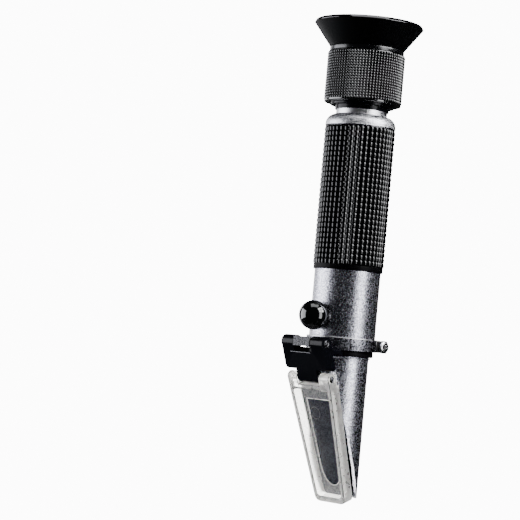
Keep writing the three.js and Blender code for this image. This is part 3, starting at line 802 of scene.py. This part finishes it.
def make_neck():
    """The silver tube that the focus ring turns on."""
    end = station("eyepiece_neck", 1)
    start = station("eyepiece_neck", 0)
    corners = [(start, 6.6), (start, NECK_RADIUS), (end, NECK_RADIUS), (end, NECK_BORE),
               (start + 1, NECK_BORE), (start + 1, 6.6)]
    neck = turned("neck", rounded(corners, [0, 0.2, 0.35, 0.2, 0, 0]), neck_aluminium())
    stands_for(neck, "body", "satin_aluminium", "eyepiece_neck")


def make_tube():
    """The tube with its rounded shoulder, and a hole where the calibration bush goes in."""
    front, back = station("main_tube", 0), station("main_tube", 1)
    corner = arc((back - SHOULDER_CORNER, SHOULDER_RADIUS - SHOULDER_CORNER), SHOULDER_CORNER, 90, 8, 14)
    outside = [(front, TUBE_BORE), (front, TUBE_RADIUS), (SHOULDER_FROM, TUBE_RADIUS),
               (SHOULDER_FROM, SHOULDER_RADIUS)]
    socket = NECK_RADIUS + TUBE_SLIP
    profile = rounded(outside, [0.15, 0.35, 0, 0.15], closed=False) + corner
    profile += [(back, socket + 0.35), (back - 0.4, socket), (NECK_SOCKET, socket), (NECK_SOCKET, TUBE_BORE)]
    tube_bm = revolve(profile, ROUND, along_axis)
    hole = revolve([(5, 0), (5, BUSH_HOLE), (15, BUSH_HOLE), (15, 0)], FINE, upright_at(CALIBRATION_STATION))
    tube = finish_mesh("tube", carve([tube_bm], [hole]), satin_aluminium())
    # Painted light: the shoulder of the same tube is coloured lighter.
    second_material(tube, shoulder_aluminium_painted_light(), lambda x, y, z: x > SHOULDER_FROM - 0.1)
    second_material(tube, black_matt(), lambda x, y, z: x > NECK_SOCKET and
                    math.hypot(y, z) < NECK_RADIUS + 0.38)
    stands_for(tube, "body", "satin_aluminium", "main_tube")


def make_grip():
    """The rubber sleeve, with a wide hem at the prism end."""
    ends = (station("grip_sleeve", 0), station("grip_sleeve", 1))
    sleeve = knurled_tube("grip", ends, GRIP_RADIUS, GRIP_BORE, GRIP_COLUMNS, GRIP_ROWS,
                          GRIP_SHAPE, grip_rubber(), (GRIP_HEM, 0.4))
    second_material(sleeve, eyecup_rubber(), lambda x, y, z: x < ends[0] + GRIP_HEM)
    stands_for(sleeve, "body", "black_rubber", "grip_sleeve")


# -------- calibration screw and cap

CAP_CENTRE = 15
CAP_RADIUS = 5.25
CAP_SKIRT = 4.5
CAP_SKIRT_TOP = 12.3
CAP_BORE = 3.35
CAP_RIDGE = 27
CROWN_SINK = 0.16
SCREW_SLOT = 0.3


def ball_point(sink, degrees):
    """A point of the cap's ball, or of one a little smaller, at an angle from its top."""
    radius, angle = CAP_RADIUS - sink, math.radians(degrees)
    return (CAP_CENTRE + radius * math.cos(angle), radius * math.sin(angle))


def make_cap():
    """A ball with a sunk crown and a skirt that sits on the tube."""
    start = math.degrees(math.acos((CAP_SKIRT_TOP - CAP_CENTRE) / CAP_RADIUS))
    profile = [(16.4, 0), (16.4, CAP_BORE), (10.6, CAP_BORE), (10.6, CAP_SKIRT)]
    profile += arc((CAP_CENTRE, 0), CAP_RADIUS, start, CAP_RIDGE, 26)
    profile += [ball_point(0.28, 26.3)] + [ball_point(CROWN_SINK, a) for a in (25.5, 21, 16, 11, 6)]
    profile += [(CAP_CENTRE + CAP_RADIUS - CROWN_SINK, 0)]
    ball = revolve(profile, 96, upright_at(CALIBRATION_STATION))
    saddle = TUBE_RADIUS + 0.12
    barrel = revolve([(-30, 0), (-30, saddle), (-8, saddle), (-8, 0)], ROUND, along_axis)
    cap = finish_mesh("cap", carve([ball], [barrel]), gloss_black(), smooth=40)
    stands_for(cap, "calibration_cap", "gloss_black", "calibration_cap")


def make_calibration_screw():
    """The slotted screw under the cap, in its bush."""
    place = upright_at(CALIBRATION_STATION)
    corners = [(10.4, 1.6), (10.4, 3.2), (15, 3.2), (15, 1.6)]
    bush = finish_mesh("bush", revolve(rounded(corners, [0, 0.15, 0.4, 0.35]), FINE, place), brass())
    stands_for(bush, "body", "brass", "calibration_bush")
    corners = [(8.15, 0), (8.15, 1.45), (14, 1.45), (14, 0)]
    shank = revolve(rounded(corners, [0, 0.3, 0.25, 0], closed=False), 48, place)
    slot = block((CALIBRATION_STATION - SCREW_SLOT, -3, 13.2), (CALIBRATION_STATION + SCREW_SLOT, 3, 15))
    screw = finish_mesh("screw", carve([shank], [slot]), brass())
    stands_for(screw, "calibration_screw", "brass", "calibration_screw")


# -------- clamp band and hinge

BAND_FROM = -30.8
BAND_TO = -26.3
BAND_RADIUS = 12.55
BAND_BORE = 11.85
CLAMP_SCREW = ((BAND_FROM + BAND_TO) / 2, -17.1)
SHADE_BLOCK_FROM = -32.6
UPPER_PIN = (-29.2, 17.6)
LOWER_PIN = (-41.3, 13.5)
LINK_HALF = 10.0
LINK_WALL = 1.0
LINK_KNUCKLE = 2.4
LINK_END = -38.6
FLANGE_DEPTH = 4.8
LINK_CORNER = 1.3
LUG_SIDE = 4.25
TONGUE_RADIUS = 1.8
LINK_WINDOW_END = -32.4
SLANT = math.radians(20.9)
CUT_START = -41.5
NOSE_RADIUS = 10.1


def make_clamp():
    """The collar with its hinge lug above and its two clamping ears below."""
    corners = [(BAND_FROM, BAND_BORE), (BAND_FROM, BAND_RADIUS), (BAND_TO, BAND_RADIUS), (BAND_TO, BAND_BORE)]
    ring = revolve(rounded(corners, [0.05, 0.3, 0.3, 0.05]), ROUND, along_axis)
    lug = block((-30.5, -3.95, 11.95), (-27.2, 3.95, 20.1))
    ears = block((BAND_FROM + 0.05, -4, -AXIS / MM), (BAND_TO - 0.05, 4, -BAND_BORE - 0.05))
    split = block((BAND_FROM - 1, -0.5, -AXIS / MM - 1), (BAND_TO + 1, 0.5, -10))
    holes = [cross_cylinder(CLAMP_SCREW, 1.2, -6, 6), cross_cylinder(UPPER_PIN, 0.85, -6, 6)]
    # The band is coloured darker than the tube: painted shade.
    clamp = finish_mesh("clamp", carve([ring, lug, ears], [split] + holes), band_aluminium_painted_shade())
    # Painted highlight: the chamfer along the band's eyepiece edge takes the brighter neck aluminium, as a
    # light line.
    second_material(clamp, neck_aluminium(), lambda x, y, z: x > BAND_TO - 0.35 and
                    BAND_RADIUS - 0.3 < math.hypot(y, z) < BAND_RADIUS)
    # Painted shade: the lug above the band is coloured grey, and the ears below it nearly black.
    second_material(clamp, lug_metal_painted_shade(), lambda x, y, z: z > BAND_RADIUS + 0.1)
    second_material(clamp, ear_metal_painted_shade(), lambda x, y, z: z < -BAND_RADIUS - 0.1)
    stands_for(softened(clamp, 0.22), "body", "satin_aluminium", "clamp_band")


def make_painted_shade_block():
    """A black block under the link, painted shade: it closes the view between the link and the nose, which
    shows dark there.
    """
    shade_piece = block((SHADE_BLOCK_FROM, -8.7, 5), (BAND_FROM - 0.02, 8.7, 15))
    under = revolve([(-34, 0), (-34, 11.5), (-29, 11.5), (-29, 0)], ROUND, along_axis)
    shade_piece = finish_mesh("painted_shade_block", carve([shade_piece], [under]), black_link())
    stands_for(softened(shade_piece, 0.15), "body", "black_anodised")


def make_clamp_screw():
    """The hexagon socket screw through the two ears, and its nut."""
    profile = [(-5.45, 0), (-5.45, 1.6), (-5.05, 2.2), (-4.6, 2.28), (-4.15, 2.28), (-4.05, 2.2),
               (-4.05, 1.1), (4.95, 1.1), (4.95, 0)]
    profile = rounded(profile, [0, 0.3, 0.2, 0.1, 0.05, 0.05, 0, 0.15, 0], closed=False)
    socket = cross_cylinder(CLAMP_SCREW, 0.9, -7, -4.45, 6)
    body = carve([revolve(profile, 48, across_at(CLAMP_SCREW))], [socket])
    screw = finish_mesh("clamp_cap_screw", body, turned_steel())
    stands_for(screw, "body", "bright_steel", "clamp_screw")
    hexagon = cross_cylinder(CLAMP_SCREW, 2.1, 4.05, 5.45, 6)
    body = carve([hexagon], [cross_cylinder(CLAMP_SCREW, 1.15, 3, 6.5)])
    nut = softened(finish_mesh("nut", body, turned_steel()), 0.16)
    stands_for(nut, "body", "bright_steel", "clamp_nut")


def make_pin(name, node, body, centre, radius, half_length):
    """A pin with a thin riveted head at each end."""
    head, seat = radius + 0.5, -half_length - 0.02
    end = -half_length - 0.3
    corners = [(end, 0), (end, 0.35), (end + 0.15, 0.5), (end, head - 0.25), (seat, head), (seat, radius)]
    corners += [(-y, r) for y, r in reversed(corners)]
    bm = revolve(rounded(corners, 0.05, closed=False), 32, across_at(centre))
    pin = finish_mesh(name, bm, pin_steel())
    stands_for(pin, body, "bright_steel", node)


def sloped_face(at):
    """Height of the link's outer face where it runs parallel to the slanted cut."""
    return LOWER_PIN[1] + TONGUE_RADIUS / math.cos(SLANT) + (at - LOWER_PIN[0]) * math.tan(SLANT)


def make_link():
    """The black channel: two knuckles, a front plate with a window, two flanges and a tongue."""
    top = UPPER_PIN[1] + LINK_KNUCKLE
    bend = LOWER_PIN[0] + (top - sloped_face(LOWER_PIN[0])) / math.tan(SLANT)
    inner = LINK_HALF - LINK_WALL

    def inner_face(at):
        return sloped_face(at) - LINK_WALL / math.cos(SLANT)

    def flange_floor(at):
        return sloped_face(at) - FLANGE_DEPTH

    back = UPPER_PIN[0] - LINK_KNUCKLE / 2
    around_pin = arc(UPPER_PIN, LINK_KNUCKLE, -60, 90, 16)
    flange = around_pin + [(bend, top), (LINK_END, sloped_face(LINK_END)),
                           (LINK_END, flange_floor(LINK_END)), (back, flange_floor(back))]
    flange = rounded(flange, [0] * len(around_pin) + [0, 0.2, 1.6, 0.8])
    knuckle = arc(UPPER_PIN, LINK_KNUCKLE, 0, 350, 35)
    front = [(UPPER_PIN[0], top), (bend, top), (LINK_END, sloped_face(LINK_END)),
             (LINK_END, inner_face(LINK_END)), (bend, top - LINK_WALL), (UPPER_PIN[0], top - LINK_WALL)]
    degrees = math.degrees(SLANT)
    tongue = arc(LOWER_PIN, TONGUE_RADIUS, 90 + degrees, 330 + degrees, 24)
    root = LINK_END + 0.5
    tongue += [(root, inner_face(root)), (root, sloped_face(root))]
    centre = (LINK_HALF - LINK_CORNER, LINK_END + LINK_CORNER)
    outline = [(LINK_HALF + 0.1, LINK_END - 0.1)] + arc(centre, LINK_CORNER, -90, 0, 8)
    outline += [(LINK_HALF + 0.1, LINK_END + LINK_CORNER)]
    corner_cuts = [prism_of([(side * y, x) for y, x in outline][::-side], 5, 30, lambda y, x, z: (x, y, z))
                   for side in (-1, 1)]
    parts = [
        side_profile(flange, -LINK_HALF, -inner),
        side_profile(flange, inner, LINK_HALF),
        side_profile(front, -LINK_HALF, LINK_HALF),
        side_profile(knuckle, -LINK_HALF, -LUG_SIDE),
        side_profile(knuckle, LUG_SIDE, LINK_HALF),
        side_profile(tongue, -5.0, 5.0),
    ]
    cuts = [
        block((LINK_WINDOW_END, -LUG_SIDE, 10), (-20, LUG_SIDE, 25)),
        cross_cylinder(UPPER_PIN, 0.87, -12, 12),
        cross_cylinder(LOWER_PIN, 0.75, -12, 12),
    ]
    link = finish_mesh("link", carve(parts, cuts + corner_cuts), black_link(), smooth=35)
    softened(link, 0.16, angle=35)
    stands_for(link, "link", "black_anodised", "hinge_link")
    edge = LINK_WINDOW_END - 0.35
    bead = cross_cylinder((edge, sloped_face(edge)), 0.1, -3.6, 6.2, 16)
    stands_for(finish_mesh("window_bead", bead, pin_steel()), "link", "bright_steel")


# -------- slanted nose

NOSE_END = -82.4
PRISM_START = 10.5
PRISM_END = 38
PRISM_HALF = 5.8


def on_slope(bm):
    """Puts a bmesh made in the slope's own frame (x up the slope, z out of it) in place."""
    place = Matrix.Translation((CUT_START, 0, NOSE_RADIUS)) @ Matrix.Rotation(-SLANT, 4, "Y")
    bmesh.ops.transform(bm, matrix=place, verts=bm.verts)
    return bm


def above_cut(sink):
    """All that lies above the slanted cut, sunk by a depth."""
    return on_slope(block((-80, -30, -sink), (60, 30, 60)))


def slope_point(down, out):
    """Station and height of a point given by its distance down the slope and out of it."""
    return (CUT_START - down * math.cos(SLANT) - out * math.sin(SLANT),
            NOSE_RADIUS - down * math.sin(SLANT) + out * math.cos(SLANT))


def prism_outline(gap, rise):
    """The prism's side outline, grown by a gap and standing out of the slope by a rise."""
    upper, lower = slope_point(PRISM_START - gap, 0), slope_point(PRISM_END + gap, 0)
    floor = -6.0 - gap
    return [slope_point(PRISM_START - gap, rise), slope_point(PRISM_END + gap, rise), lower,
            (lower[0], floor), (upper[0], floor), upper]


def make_nose():
    """The slanted tube, the prism in its black seat, and the seal where the tube enters the barrel."""
    corners = [(NOSE_END, 8.9), (NOSE_END, NOSE_RADIUS), (-33.6, NOSE_RADIUS), (-33.5, 10.55), (-33.0, 10.55),
               (-32.9, NOSE_RADIUS), (-24.3, NOSE_RADIUS), (-24.3, 8.9)]
    shell = revolve(rounded(corners, [0.1, 0.35, 0, 0.2, 0.2, 0, 0.1, 0.1]), ROUND, along_axis)
    core = revolve([(-81.6, 0), (-81.6, 8.8), (-44, 8.8), (-44, 0)], 96, along_axis)
    tunnel = revolve([(-60, 0), (-60, 5.4), (-40, 5.4), (-40, 0)], FINE, along_axis)
    nose = finish_mesh("nose", carve([shell], [above_cut(0)]), satin_aluminium())
    softened(nose, 0.12, segments=2, angle=40)
    stands_for(nose, "body", "satin_aluminium", "nose_housing")
    pocket = side_profile(prism_outline(0.15, 3), -PRISM_HALF - 0.15, PRISM_HALF + 0.15)
    seat = finish_mesh("seat", carve([core], [above_cut(0.35), pocket, tunnel]), black_matt())
    stands_for(softened(seat, 0.1, angle=40), "body", "black_anodised", "prism_seat")
    glass = side_profile(prism_outline(0, 1), -PRISM_HALF, PRISM_HALF)
    glass = finish_mesh("prism_block", carve([glass], [above_cut(0.05)]), prism_glass())
    stands_for(softened(glass, 0.12), "body", "prism_glass", "prism")
    seal_corners = [(-32.8, 10.2), (-32.8, 11.45), (-30.8, 11.45), (-30.8, 10.2)]
    seal = turned("seal", rounded(seal_corners, [0, 0.4, 0.4, 0], 5), eyecup_rubber())
    stands_for(seal, "body", "black_rubber", "seal_ring")


# -------- daylight plate

PLATE_GAP = 0.35
PLATE_FRONT = 4.8
PLATE_FLOOR = PLATE_GAP + 1.2
PLATE_WALL = 1.5
PLATE_DRAFT = 1.0
PLATE_START = 0.9
PLATE_END = (CUT_START - station("daylight_plate", 0) - PLATE_FRONT * math.sin(SLANT)) / math.cos(SLANT)
PLATE_EARS = 3.4
PLATE_HINGE_HALF = 10.1
PLATE_TIP_HALF = 7.3
WINDOW_START = 7.2
WINDOW_END = 39.2
WINDOW_HALF = 5.9
WINDOW_END_HALF = 4.7
WINDOW_CURVE = 7.5
MARK_RADIUS = 2.3
MARK_CENTRE = (-12.5, 2.9)
EAR_RADIUS = 1.95
EAR_INNER = 5.3


def plate_half(down):
    share = max(0, (down - PLATE_EARS) / (PLATE_END - PLATE_EARS))
    return PLATE_HINGE_HALF + (PLATE_TIP_HALF - PLATE_HINGE_HALF) * share


def plate_outline(inset, start, end, radii):
    """A tapered outline in the slope's frame, hinge end first. radii are for the hinge and tip corners."""
    hinge, tip = plate_half(start) - inset, plate_half(end) - inset
    corners = [(-start, -hinge), (-PLATE_EARS, -hinge), (-end, -tip), (-end, tip), (-PLATE_EARS, hinge),
               (-start, hinge)]
    return rounded(corners, [radii[0], 0, radii[1], radii[1], 0, radii[0]], 6)


def window_outline(grow):
    """Straight top, sides that close in a little and a half-elliptical bottom."""
    half, end_half = WINDOW_HALF + grow, WINDOW_END_HALF + grow
    turn = WINDOW_END - WINDOW_CURVE
    angles = [math.radians(a) for a in range(0, 181, 9)]
    bottom = [(-turn - (WINDOW_CURVE + grow) * math.sin(a), -end_half * math.cos(a)) for a in angles]
    return [(-WINDOW_START + grow, -half)] + bottom + [(-WINDOW_START + grow, half)]


def slope_slab(outline, low, high):
    return prism_of(outline, low, high, lambda x, y, z: (x, y, z))


def tapered_slab(lower, upper, low, high):
    """A slab whose outline changes from lower to upper; both have as many points."""
    bm = bmesh.new()
    floor = [bm.verts.new((x, y, low)) for x, y in lower]
    roof = [bm.verts.new((x, y, high)) for x, y in upper]
    bm.faces.new(floor)
    bm.faces.new(roof)
    for i in range(len(floor)):
        j = (i + 1) % len(floor)
        bm.faces.new((floor[i], floor[j], roof[j], roof[i]))
    return bm


def slope_coordinates(point):
    """Distance down the slope and out of it of a [station, height]."""
    along, rise = point[0] - CUT_START, point[1] - NOSE_RADIUS
    return (-along * math.cos(SLANT) - rise * math.sin(SLANT),
            -along * math.sin(SLANT) + rise * math.cos(SLANT))


def make_plate():
    """The clear tray: a tapered frosted floor, raised walls, two hinge ears and a window."""
    tray = slope_slab(plate_outline(0, PLATE_START, PLATE_END, (0.6, 2.4)), PLATE_GAP, PLATE_FRONT)
    inside = (PLATE_START + 1.2, PLATE_END - 2.1, (0.5, 1.6))
    low, high = plate_outline(PLATE_WALL + PLATE_DRAFT, *inside), plate_outline(PLATE_WALL, *inside)
    hollow = tapered_slab(low, high, PLATE_FLOOR, PLATE_FRONT + 0.01)
    pin_down, pin_out = slope_coordinates(LOWER_PIN)
    ear = arc((-pin_down, pin_out), EAR_RADIUS, 90, -70, 20)
    ear += [(-PLATE_START - 2, PLATE_GAP), (-PLATE_START - 2, pin_out + 1.6)]
    ears = [side_profile(ear, -PLATE_HINGE_HALF, -EAR_INNER), side_profile(ear, EAR_INNER, PLATE_HINGE_HALF)]
    pin_hole = cross_cylinder((-pin_down, pin_out), 0.77, -12, 12)
    window_hole = slope_slab(window_outline(0.0), PLATE_GAP - 1, PLATE_FRONT)
    shaped = carve([carve([tray], [hollow])] + ears, [pin_hole, window_hole])
    for face in shaped.faces:
        middle = face.calc_center_median()
        down = -middle.x
        level = abs(middle.z - PLATE_FLOOR) < 0.02 or abs(middle.z - PLATE_GAP) < 0.02
        clear_of_walls = abs(middle.y) < plate_half(down) - PLATE_WALL - PLATE_DRAFT + 0.1
        on_floor = level and clear_of_walls and PLATE_START + 1.1 < down < PLATE_END - 2.0
        face.material_index = 1 if on_floor else 0
    bmesh.ops.remove_doubles(shaped, verts=shaped.verts, dist=0.02)
    bmesh.ops.dissolve_limit(shaped, angle_limit=math.radians(0.6), verts=shaped.verts, edges=shaped.edges,
                             delimit={"MATERIAL"})
    clear, frosted = tray_plastic(), frosted_plastic()
    plate = finish_mesh("tray", on_slope(shaped), clear)
    plate.data.materials.append(frosted)
    # The rounded edges take a dark colour: painted shade.
    softened(plate, 0.2, angle=35, edge_material=tray_edge_painted_shade())
    stands_for(plate, "plate", "clear_plastic", "daylight_plate")
    make_window(clear, frosted)


def make_window(clear, frosted):
    """The window's pane and raised rim, and the ring left by the moulding."""
    pane = slope_slab(window_outline(-0.12), PLATE_GAP + 0.1, PLATE_FLOOR - 0.15)
    window = finish_mesh("window", on_slope(pane), window_plastic())
    stands_for(softened(window, 0.1), "plate", "clear_plastic")
    disc = slope_slab(arc(MARK_CENTRE, MARK_RADIUS, 0, 350, 35), PLATE_FLOOR - 0.2, PLATE_FLOOR - 0.05)
    hole = slope_slab(arc(MARK_CENTRE, MARK_RADIUS - 0.16, 0, 350, 35), PLATE_FLOOR - 1, PLATE_FLOOR + 1)
    mark = finish_mesh("moulding_mark", on_slope(carve([disc], [hole])), frosted)
    stands_for(mark, "plate", "clear_plastic")
    outer = slope_slab(window_outline(0.22), PLATE_FLOOR - 0.1, PLATE_FLOOR + 0.12)
    inner = slope_slab(window_outline(-0.08), PLATE_FLOOR - 1, PLATE_FLOOR + 1)
    rim = finish_mesh("window_rim", on_slope(carve([outer], [inner])), clear)
    stands_for(softened(rim, 0.05), "plate", "clear_plastic")


# -------- inner pieces

def finish_inner_pieces():
    """Materials for the CAD pieces that stay as they are, inside the barrel."""
    pieces = [
        (black_matt(), ["light_baffle", "reticle_ring", "carriage_guide", "objective_cell",
                        "objective_retainer", "lens_spacer", "focus_o_ring"]),
        (lens_glass(), ["reticle_glass", "field_lens", "objective_flint", "objective_crown"]),
        (brass(), ["lens_carrier", "bimetal_screw_fixed", "bimetal_screw_free"]),
        (spring_steel(), ["return_spring", "bimetal_strip"]),
    ]
    for material, nodes in pieces:
        for node in nodes:
            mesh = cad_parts[node].data
            mesh.materials.clear()
            mesh.materials.append(material)


make_camera()
make_stage()
make_lights()
make_eyecup()
make_focus_ring()
make_eyepiece_optics()
make_neck()
make_tube()
make_grip()
make_cap()
make_calibration_screw()
make_clamp()
make_painted_shade_block()
make_clamp_screw()
make_pin("pin_upper", "hinge_pin_upper", "body", UPPER_PIN, 0.8, 10.0)
make_pin("pin_lower", "hinge_pin_lower", "link", LOWER_PIN, 0.7, 10.1)
make_link()
make_nose()
make_plate()
finish_inner_pieces()
